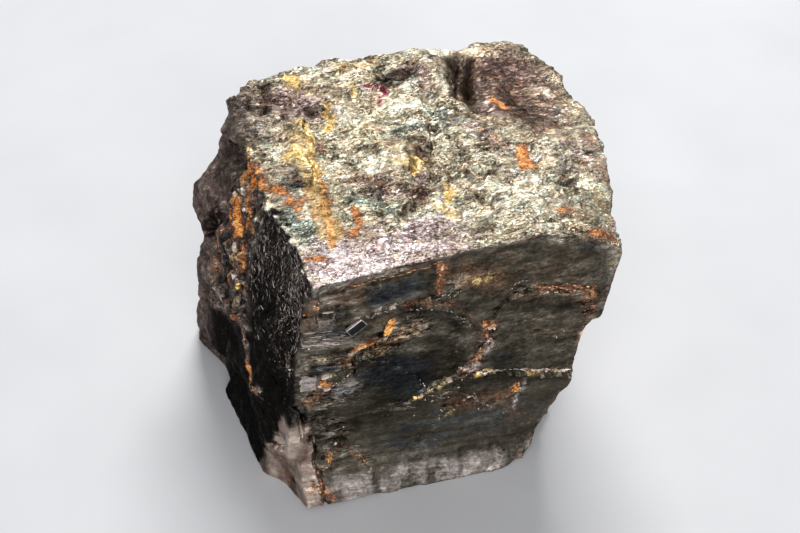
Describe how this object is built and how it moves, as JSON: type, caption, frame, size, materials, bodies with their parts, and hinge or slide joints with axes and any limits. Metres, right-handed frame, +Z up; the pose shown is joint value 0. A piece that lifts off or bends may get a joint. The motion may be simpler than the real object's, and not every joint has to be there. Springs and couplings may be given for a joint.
{
  "type": "meteorite",
  "caption": "Heavy blocky stone of dark metallic ore with a flat striated front, a rough glittering top and rust in its cracks, standing on a flat underside.",
  "frame": {"origin": "middle of the stone's bounding box, on the ground that its flat underside rests on", "axes": "+X along the stone's longest side, to the right when facing the flat striated face; -Y is the way that face looks; +Z up"},
  "size_m": [0.0942, 0.0778, 0.073],
  "materials": {
    "ore": "dark bronze-black metallic ore: satin and finely striated on the cleavage face, sparkling and pale on the broken top, with orange and yellow rust stains in cracks and hollows"
  },
  "bodies": {
    "root": {"meteorite": "ore"}
  },
  "joints": []
}
